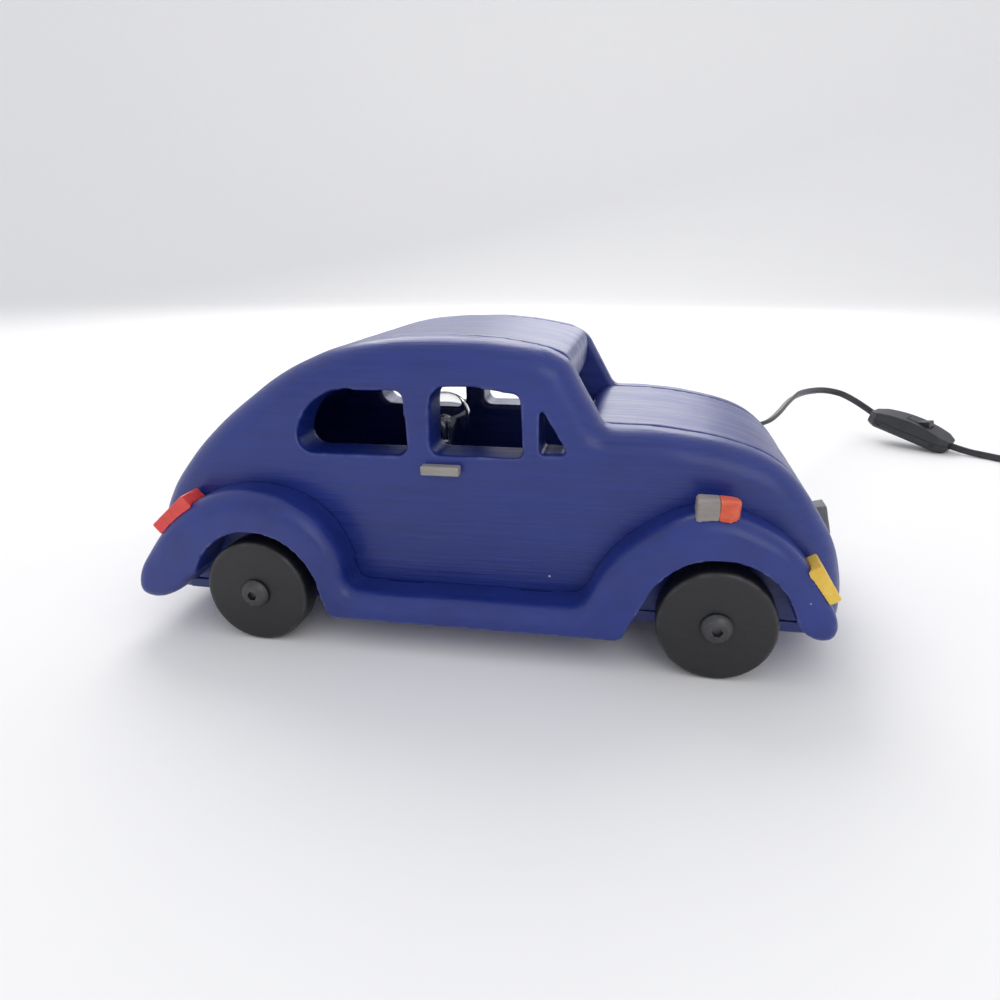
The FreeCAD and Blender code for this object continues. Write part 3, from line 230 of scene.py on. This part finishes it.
def brass(name, colour=(0.72, 0.53, 0.26)):
    """Plain brass with light tarnish."""
    g = Graph(name)
    cloud = g.noise(300.0, 4.0)
    tone = g.mix(g.ramp(cloud, [(0.4, 0.0), (0.75, 1.0)]), colour, tuple(0.6 * c for c in colour))
    return g.set(colour=tone, metal=1.0, rough=g.ramp(cloud, [(0.3, 0.22), (0.8, 0.40)]))


def plastic(name, colour, rough=0.42, grain=1500.0, depth=0.00008):
    """Moulded plastic with a fine spark grain and rubbed edges."""
    g = Graph(name)
    fine = g.noise(grain, 3.0, rough=0.6)
    cloud = g.noise(60.0, 3.0, offset=2.0)
    tone = g.mix(g.ramp(cloud, [(0.35, 0.0), (0.7, 1.0)]), colour, tuple(1.3 * c for c in colour))
    tone = g.mix(g.math("MULTIPLY", g.edges(0.52, 0.62), 0.35), tone, tuple(2.4 * c for c in colour))
    return g.set(colour=tone, rough=g.ramp(fine, [(0.25, rough - 0.07), (0.75, rough + 0.10)]),
                 normal=g.bump(fine, 0.35, depth))


def bare_wood(name):
    """Unpainted hardwood dowel."""
    g = Graph(name)
    grain = g.noise(1.0, 4.0, (900, 60, 900), 0.6)
    tone = g.mix(g.ramp(grain, [(0.35, 0.0), (0.7, 1.0)]), (0.42, 0.27, 0.14), (0.58, 0.40, 0.23))
    return g.set(colour=tone, rough=g.ramp(grain, [(0.3, 0.5), (0.7, 0.7)]))


def clear_glass(name):
    """Clear bulb glass."""
    g = Graph(name)
    return g.set(colour=(0.98, 0.985, 0.98), rough=0.0, ior=1.48, glass=1.0)


def pin_metal(name, start, heading, sleeve):
    """Bright pin with a dark sleeve on its first stretch from the plug's face."""
    g = Graph(name)
    away = g.add("ShaderNodeVectorMath", operation="SUBTRACT")
    g.join(g.place, away.inputs[0])
    away.inputs[1].default_value = start
    along = g.add("ShaderNodeVectorMath", operation="DOT_PRODUCT")
    g.join(away.outputs[0], along.inputs[0])
    along.inputs[1].default_value = heading
    bare = g.math("GREATER_THAN", along.outputs["Value"], sleeve)
    cloud = g.noise(500.0, 3.0)
    metal = g.mix(g.ramp(cloud, [(0.4, 0.0), (0.7, 1.0)]), (0.80, 0.72, 0.52), (0.62, 0.55, 0.40))
    return g.set(colour=g.mix(bare, (0.03, 0.03, 0.032), metal), metal=bare,
                 rough=g.ramp(cloud, [(0.3, 0.25), (0.7, 0.38)]))


ALONG = (14, 380, 380)         # strokes along the car
ROUND = (16, 420, 16)          # strokes along a panel's curve
DEEP_BLUE, FAIR_BLUE = (0.005, 0.016, 0.150), (0.010, 0.027, 0.205)


def make_materials():
    """Every material, by the record's slot name, and the few that differ within a slot."""
    dark = (0.006, 0.006, 0.007)
    return {
        "blue_paint": brushed_paint("blue_side", DEEP_BLUE, FAIR_BLUE, ALONG),
        "blue_panel": brushed_paint("blue_panel", DEEP_BLUE, FAIR_BLUE, ROUND, seed=5.0),
        "blue_fender": brushed_paint("blue_fender", DEEP_BLUE, FAIR_BLUE, (60, 300, 60),
                                     seed=11.0, wear=0.45),
        "black_paint": brushed_paint("black_paint", dark, (0.011, 0.011, 0.012), (120, 60, 320), (0.38, 0.55),
                                     (0.30, 0.30, 0.31), 0.6, seed=2.0, coat=0.1),
        "beige_paint": brushed_paint("beige_paint", (0.24, 0.22, 0.20), (0.33, 0.31, 0.29), (60, 500, 300),
                                     (0.5, 0.65), (0.5, 0.48, 0.45), 0.6, seed=4.0, coat=0.05),
        # grey_paint is painted shade: a darker grey than the handles' own light grey, standing for the shade
        # on the bonnet handle
        "grey_paint": brushed_paint("grey_paint", (0.10, 0.10, 0.105), (0.17, 0.17, 0.175), (300, 60, 300),
                                    (0.5, 0.65), (0.4, 0.4, 0.4), 0.6, seed=6.0, coat=0.05),
        "warm_grey_paint": brushed_paint("warm_grey_paint", (0.19, 0.17, 0.16), (0.30, 0.27, 0.25),
                                         (80, 400, 300),
                                         (0.5, 0.65), (0.45, 0.43, 0.40), 0.6, seed=8.0, coat=0.05),
        "orange_paint": brushed_paint("orange_paint", (0.60, 0.055, 0.025), (0.72, 0.13, 0.045),
                                      (80, 400, 300),
                                      (0.35, 0.5), (0.8, 0.3, 0.15), 0.5, seed=9.0),
        "yellow_paint": brushed_paint("yellow_paint", (0.72, 0.42, 0.035), (0.80, 0.55, 0.075),
                                      (300, 80, 300),
                                      (0.35, 0.5), (0.85, 0.7, 0.3), 0.5, seed=12.0),
        "red_paint": brushed_paint("red_paint", (0.60, 0.030, 0.025), (0.74, 0.065, 0.050), (300, 80, 300),
                                   (0.35, 0.5), (0.85, 0.25, 0.2), 0.5, seed=13.0),
        "dark_steel": steel("dark_steel", (0.10, 0.10, 0.105)),
        "zinc_steel": steel("zinc_steel", (0.45, 0.46, 0.48), 0.35),
        "bare_wood": bare_wood("bare_wood"),
        "holder_plastic": plastic("holder_plastic", (0.02, 0.02, 0.02)),
        "brass": brass("brass"),
        "clear_glass": clear_glass("clear_glass"),
        "dark_glass": plastic("dark_glass", (0.015, 0.012, 0.016), 0.15),
        "bright_metal": brass("bright_metal", (0.70, 0.70, 0.70)),
        "lead_sheath": plastic("lead_sheath", (0.022, 0.023, 0.027), 0.36, 700.0, 0.00006),
        "tie_plastic": plastic("tie_plastic", (0.015, 0.015, 0.015)),
        "black_plastic": plastic("black_plastic", (0.020, 0.022, 0.026), 0.45, 1300.0, 0.00010),
    }


# ---------------------------------------------------------------- mesh helpers
def link(obj):
    bpy.context.scene.collection.objects.link(obj)
    return obj


def painted(obj, material):
    """Gives an object one material and smooth faces."""
    obj.data.materials.clear()
    obj.data.materials.append(material)
    obj.data.polygons.foreach_set("use_smooth", [True] * len(obj.data.polygons))
    return obj


def carved(node, body, material, voxel, smoothing, waviness=0.0, pitch=14.0):
    """A node's solid gone over by hand: even mesh, soft edges, uneven surface. It stands for the node."""
    source = frame["nodes"][node]
    copy = link(bpy.data.objects.new("raw", source.data.copy()))
    remesh = copy.modifiers.new("remesh", "REMESH")
    remesh.mode, remesh.voxel_size = "VOXEL", voxel * MM
    smooth = copy.modifiers.new("smooth", "SMOOTH")
    smooth.factor, smooth.iterations = 0.5, smoothing
    bpy.context.view_layer.update()
    mesh = bpy.data.meshes.new_from_object(copy.evaluated_get(bpy.context.evaluated_depsgraph_get()))
    bpy.data.objects.remove(copy)
    piece = link(bpy.data.objects.new(node + "_finished", mesh))
    if waviness:
        count = len(mesh.vertices)
        places, normals = np.empty(count * 3, np.float32), np.empty(count * 3, np.float32)
        mesh.vertices.foreach_get("co", places)
        mesh.vertices.foreach_get("normal", normals)
        places, normals = places.reshape(-1, 3), normals.reshape(-1, 3)
        shifts = np.array([noise.noise(Vector(place)) for place in places * (1000.0 / pitch)], np.float32)
        places += normals * (shifts * waviness * MM)[:, None]
        mesh.vertices.foreach_set("co", places.ravel())
        mesh.update()
    painted(piece, material)
    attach(piece, body)
    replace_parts(piece, node)


def lathe(name, profile, axis_point, axis, material, segments=96):
    """Closed solid turned about an axis from (radius, distance along it) points, in metres."""
    axis = Vector(axis).normalized()
    side = axis.orthogonal().normalized()
    other = axis.cross(side)
    mesh = bmesh.new()
    rings = []
    for radius, along in profile:
        centre = Vector(axis_point) + axis * along
        if radius < 1e-7:
            rings.append([mesh.verts.new(centre)])
            continue
        rings.append([mesh.verts.new(centre + side * (radius * math.cos(2 * math.pi * i / segments))
                                     + other * (radius * math.sin(2 * math.pi * i / segments)))
                      for i in range(segments)])
    for lower, upper in zip(rings, rings[1:] + rings[:1]):
        if len(lower) == 1 and len(upper) == 1:
            continue
        for i in range(segments):
            j = (i + 1) % segments
            corners = [lower[i % len(lower)], lower[j % len(lower)],
                       upper[j % len(upper)], upper[i % len(upper)]]
            mesh.faces.new(list(dict.fromkeys(corners)))       # a ring of one point gives a triangle
    bmesh.ops.recalc_face_normals(mesh, faces=mesh.faces)
    data = bpy.data.meshes.new(name)
    mesh.to_mesh(data)
    mesh.free()
    return painted(link(bpy.data.objects.new(name, data)), material)


# ---------------------------------------------------------------- the lead
# Sizes and places in this section are millimetres.
LEAD_WIDTH, LEAD_THICKNESS = 5.6, 3.4
LEAD_TO_SWITCH = [(30, 66, 48), (30, 105, 48), (53, 137, 50), (92, 154, 51.5), (133, 161, 51),
                  (160, 180, 50.3), (174, 211, 51.5), (187, 249, 53.2), (201, 286, 52.8),
                  (217, 319, 49.8), (238, 346, 46.5), (263, 359, 38.5), (284.93, 345.22, 22.99)]
LEAD_TO_COIL = [(332.67, 308.98, 7.15), (346, 299, 3.6), (358, 291, 2.9), (369, 279, 2.8), (383, 270, 2.8),
                (398, 267.7, 2.8)]
COIL_CENTRE, COIL_MEAN, COIL_STEP = (424.0, 232.0), 32.0, 3.6
COIL_LOW, COIL_LAYER = 3.4, 5.6            # first layer's middle, and the next one's rise
COIL_TURNS = 5.0                           # whole turns, before the part turn to the plug
LAYER_TURNS = 2.0                          # turns the lead moves inwards on the lower layer
POINTS_PER_TURN = 16
CLIMB_TURNS = 0.35                         # part of a turn to climb to the upper layer
DROP_TURNS = 0.2                           # part of a turn to come down to the plug
PLUG_ANGLE = -24.6                         # where the lead leaves the coil, in degrees
PLUG_HEIGHT = 6.8                          # middle of the plug
PLUG_REACH = 66.0                          # from the coil to the plug's face


def coil_points():
    """Turns wound clockwise: inwards on the lower layer, up, and outwards on the upper one to the plug."""
    turns = (90.0 - PLUG_ANGLE) / 360.0 + COIL_TURNS
    count = round(turns * POINTS_PER_TURN)
    # a spline cuts inside its control points, so they stand a little further out
    swell = 1.0 / (0.75 + 0.25 * math.cos(2 * math.pi / POINTS_PER_TURN))
    points = []
    for step in range(1, count + 1):
        turn = turns * step / count
        inward = min(turn, LAYER_TURNS, max(0.0, turns - CLIMB_TURNS - turn))
        radius = (COIL_MEAN + COIL_STEP - COIL_STEP * max(0.0, inward)) * swell
        rise = min(1.0, max(0.0, (turn - LAYER_TURNS - CLIMB_TURNS) / CLIMB_TURNS))
        drop = min(1.0, max(0.0, (turn - turns + DROP_TURNS) / DROP_TURNS))
        angle = math.radians(90.0 - 360.0 * turn)
        points.append((COIL_CENTRE[0] + radius * math.cos(angle), COIL_CENTRE[1] + radius * math.sin(angle),
                       COIL_LOW + COIL_LAYER * rise - (COIL_LOW + COIL_LAYER - PLUG_HEIGHT) * drop))
    return points


def plug_frame():
    """Where the last turn leaves the coil, and the plug's heading."""
    angle = math.radians(PLUG_ANGLE)
    radius = COIL_MEAN + COIL_STEP
    heading = Vector((math.sin(angle), -math.cos(angle), 0))
    leave = Vector((COIL_CENTRE[0] + radius * math.cos(angle), COIL_CENTRE[1] + radius * math.sin(angle),
                    PLUG_HEIGHT))
    return leave, heading


def smooth_line(points):
    """Points read from a NURBS spline with these control points, in metres."""
    curve = bpy.data.curves.new("route", "CURVE")
    curve.dimensions = "3D"
    curve.resolution_u = 10
    spline = curve.splines.new("NURBS")
    spline.points.add(len(points) - 1)
    for target, point in zip(spline.points, points):
        target.co = (*(Vector(point) * MM), 1.0)
    spline.order_u = 3
    spline.use_endpoint_u = True
    route = link(bpy.data.objects.new("route", curve))
    mesh = bpy.data.meshes.new_from_object(route.evaluated_get(bpy.context.evaluated_depsgraph_get()))
    line = [vertex.co.copy() for vertex in mesh.vertices]
    bpy.data.objects.remove(route)
    bpy.data.meshes.remove(mesh)
    return line


def lead_outline():
    """Section of the flat lead as (across its thickness, along its width) in mm: two lobes and a waist."""
    outline = []
    lobe = LEAD_THICKNESS / 2.0
    offset = LEAD_WIDTH / 2.0 - lobe
    for side, turn in ((1, 0.0), (-1, 180.0)):
        for step in range(9):
            angle = math.radians(turn - 70.0 + 140.0 * step / 8.0)
            outline.append((-lobe * math.sin(angle), side * offset + lobe * math.cos(angle)))
    return outline


def flat_lead(name, line, roll, material):
    """Flat lead swept along a line; roll(share) turns its width from upright, in degrees."""
    outline = lead_outline()
    mesh = bmesh.new()
    rings = []
    for index, point in enumerate(line):
        ahead, behind = line[min(index + 1, len(line) - 1)], line[max(index - 1, 0)]
        tangent = (ahead - behind).normalized()
        level = tangent.cross(Vector((0, 0, 1))).normalized()
        upward = level.cross(tangent)
        angle = math.radians(roll(index / (len(line) - 1)))
        wide = upward * math.cos(angle) + level * math.sin(angle)
        thin = level * math.cos(angle) - upward * math.sin(angle)
        rings.append([mesh.verts.new(point + (thin * a + wide * b) * MM) for a, b in outline])
    for lower, upper in zip(rings, rings[1:]):
        for i in range(len(outline)):
            j = (i + 1) % len(outline)
            mesh.faces.new((lower[i], lower[j], upper[j], upper[i]))
    mesh.faces.new(rings[0])
    mesh.faces.new(rings[-1])
    bmesh.ops.recalc_face_normals(mesh, faces=mesh.faces)
    data = bpy.data.meshes.new(name)
    mesh.to_mesh(data)
    mesh.free()
    piece = painted(link(bpy.data.objects.new(name, data)), material)
    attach(piece, "root")
    return piece


def line_length(line):
    return sum((b - a).length for a, b in zip(line, line[1:]))


def make_leads():
    """The lead from the car to the switch, and from the switch through its coil to the plug."""
    def first_roll(share):
        ease = min(1.0, max(0.0, (share - 0.62) / 0.09))
        return 62.0 * (1.0 - ease * ease * (3.0 - 2.0 * ease))

    line = smooth_line(LEAD_TO_SWITCH)
    first = flat_lead("lead_to_switch", line, first_roll, materials["lead_sheath"])
    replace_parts(first, "lead_lamp_to_switch")
    leave, heading = plug_frame()
    tail = [tuple(leave + heading * 7.0), tuple(leave + heading * 14.0)]
    line = smooth_line(LEAD_TO_COIL + coil_points() + tail)
    second = flat_lead("lead_to_plug", line, lambda share: 0.0, materials["lead_sheath"])
    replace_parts(second, "lead_switch_to_coil", "lead_coil")
    print("lead lengths", round(line_length(smooth_line(LEAD_TO_SWITCH)), 3), round(line_length(line), 3))


def strain_relief():
    """Tapered sleeve with shallow ribs where the lead leaves the left side board."""
    low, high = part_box("strain_relief")
    inner, face, tip = low[1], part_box("side_board_left")[1][1], high[1]
    flange, sleeve, taper_end, bore = 7.4 * MM, 5.0 * MM, 3.7 * MM, 2.75 * MM
    profile = [(bore, 0.0), (sleeve, 0.0), (sleeve, face - inner), (flange - 0.4 * MM, face - inner),
               (flange, face - inner + 0.5 * MM), (flange, face - inner + 1.5 * MM),
               (flange - 0.6 * MM, face - inner + 2.0 * MM), (sleeve, face - inner + 2.0 * MM)]
    start, end = face - inner + 3.0 * MM, tip - inner
    ribs, groove = 7, 0.55 * MM
    for rib in range(ribs):
        for part, dip in ((0.0, 0.0), (0.55, 0.0), (0.70, groove), (0.88, groove)):
            share = (rib + part) / ribs
            profile.append((sleeve + (taper_end - sleeve) * share - dip, start + (end - start) * share))
    profile += [(3.65 * MM, end - 0.2 * MM), (3.4 * MM, end), (bore, end)]
    centre = ((low[0] + high[0]) / 2, inner, (low[2] + high[2]) / 2)
    piece = lathe("strain_relief_finished", profile, centre, (0, 1, 0), materials["black_plastic"], 64)
    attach(piece, "root")
    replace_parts(piece, "strain_relief")


# ---------------------------------------------------------------- bulb
def bulb():
    """Blown glass envelope and ribbed screw cap, turned smooth in place of the CAD's."""
    low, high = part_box("bulb_glass")
    cap_low, cap_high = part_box("bulb_cap")
    x, y = (low[0] + high[0]) / 2, (low[1] + high[1]) / 2
    radius, wall = (high[0] - low[0]) / 2, 0.6 * MM
    neck = 6.4 * MM
    middle = high[2] - radius

    def side(inset):
        shoulder = cap_high[2]
        points = [(neck - inset, low[2])]
        for step in range(25):
            share = step / 24
            swell = 0.5 - 0.5 * math.cos(math.pi * share)
            points.append((neck - inset + (radius - neck) * swell, shoulder + (middle - shoulder) * share))
        for step in range(1, 24):
            angle = math.pi / 2 * step / 24
            points.append(((radius - inset) * math.cos(angle), middle + (radius - inset) * math.sin(angle)))
        return points + [(0.0, middle + radius - inset)]

    outer, inner = side(0.0), side(wall)
    glass = lathe("bulb_glass_finished", outer + inner[::-1], (x, y, 0), (0, 0, 1), materials["clear_glass"])
    cap_profile = [(6.3 * MM, cap_low[2])]
    for step in range(61):
        share = step / 60
        thread = 0.35 * MM * math.cos(2 * math.pi * share * 6.0) if share < 0.85 else -0.1 * MM
        cap_profile.append((6.5 * MM + thread, cap_low[2] + (cap_high[2] - cap_low[2]) * share))
    cap_profile.append((6.3 * MM, cap_high[2]))
    cap = lathe("bulb_cap_finished", cap_profile, (x, y, 0), (0, 0, 1), materials["brass"], 64)
    for piece, node in ((glass, "bulb_glass"), (cap, "bulb_cap")):
        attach(piece, "root")
        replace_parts(piece, node)


# ---------------------------------------------------------------- setting
FLOOR_END, BEND_RADIUS = 2.2, 1.0          # where the floor starts to curve up, and its bend
FLOOR_TONES = (0.93, 0.92, 0.91), (0.945, 0.935, 0.925)
WORLD_LIGHT = 0.80
# Each light is (name, place, aim, size, power, colour).
LIGHTS = [("key", (-0.6, 1.5, 1.6), (0, 0, 0.05), 1.4, 20.0, (1.0, 0.99, 0.98)),
          ("fill", (1.0, -1.5, 1.2), (0, 0, 0.05), 1.5, 6.0, (1.0, 0.98, 0.95)),
          ("sheen", (0.1, 1.7, 0.75), (0, 0, 0.12), 0.9, 3.6, (0.97, 0.97, 1.0))]


def stage():
    """Pale floor that curves up far behind, and soft studio light."""
    mesh = bmesh.new()
    profile = [(-3.0, 0.0), (FLOOR_END, 0.0)]
    for angle in range(10, 91, 10):
        bend = math.radians(angle)
        profile.append((FLOOR_END + BEND_RADIUS * math.sin(bend), BEND_RADIUS * (1.0 - math.cos(bend))))
    profile.append((FLOOR_END + BEND_RADIUS, 4.0))
    rows = [[mesh.verts.new((x, y, z)) for x in (-4.0, 4.0)] for y, z in profile]
    for a, b in zip(rows, rows[1:]):
        mesh.faces.new((a[0], a[1], b[1], b[0]))
    data = bpy.data.meshes.new("floor")
    mesh.to_mesh(data)
    mesh.free()
    g = Graph("floor_white")
    fine = g.noise(40.0, 3.0)
    floor = painted(link(bpy.data.objects.new("floor", data)),
                    g.set(colour=g.mix(fine, *FLOOR_TONES), rough=0.6, specular=0.2))
    world = bpy.data.worlds.new("studio")
    world.use_nodes = True
    background = world.node_tree.nodes["Background"]
    background.inputs["Color"].default_value = (0.93, 0.95, 1.0, 1.0)
    background.inputs["Strength"].default_value = WORLD_LIGHT
    bpy.context.scene.world = world
    for name, place, target, size, power, colour in LIGHTS:
        light = bpy.data.lights.new(name, "AREA")
        light.shape, light.size, light.energy, light.color = "DISK", size, power, colour
        obj = link(bpy.data.objects.new(name, light))
        obj.location = place
        obj.rotation_euler = (Vector(target) - Vector(place)).to_track_quat("-Z", "Y").to_euler()
    bpy.context.scene.view_settings.view_transform = "Standard"



# ---------------------------------------------------------------- the model
slot_of = {part["node"]: part["material_slot"] for part in frame["record"]["subparts"]}
body_of = {node: body for body, nodes in frame["record"]["behaviour"]["bodies"].items() for node in nodes}
make_camera()
materials = make_materials()
pin_leave, pin_heading = plug_frame()
pin_start = (pin_leave + pin_heading * PLUG_REACH) * MM
materials["pin_metal"] = pin_metal("pin_metal", pin_start, pin_heading, 0.010)

BOARDS = {"side_board": "blue_paint", "fender_board": "blue_fender"}
for side_name in ("right", "left"):
    for board_name, look in BOARDS.items():
        node_name = "%s_%s" % (board_name, side_name)
        carved(node_name, "root", materials[look], 1.2 if board_name == "side_board" else 1.0, 6, 0.22)
    for end_name in ("front", "rear"):
        node_name = "wheel_%s_%s" % (end_name, side_name)
        carved(node_name, body_of[node_name], materials["black_paint"], 0.8, 3, 0.10)
    for block_name in ("door_handle", "indicator_base", "indicator_lens", "headlight", "tail_light"):
        node_name = "%s_%s" % (block_name, side_name)
        carved(node_name, "root", materials[slot_of[node_name]], 0.4, 3, 0.12, 4.0)
# The bonnet handle gets grey_paint, a darker grey that paints in its shade; its own grey is the door handles'
# light grey
carved("bonnet_handle", "root", materials["grey_paint"], 0.4, 3, 0.12, 4.0)
for node_name in ("roof_panel", "bonnet_panel"):
    carved(node_name, "root", materials["blue_panel"], 1.2, 6, 0.22)
carved("base_board", "root", materials["blue_paint"], 1.0, 3, 0.10)
for node_name, cell in (("switch_cover", 0.45), ("switch_base", 0.45),
                        ("switch_rocker", 0.35), ("plug_body", 0.5)):
    carved(node_name, body_of[node_name], materials["black_plastic"], cell, 3)
strain_relief()
bulb()
make_leads()
replaced = {name for piece in bpy.data.objects for name in piece.get("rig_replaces", [])}
for node_name, obj in frame["nodes"].items():
    if node_name not in replaced:
        obj.data.materials.clear()
        obj.data.materials.append(materials[slot_of[node_name]])
stage()
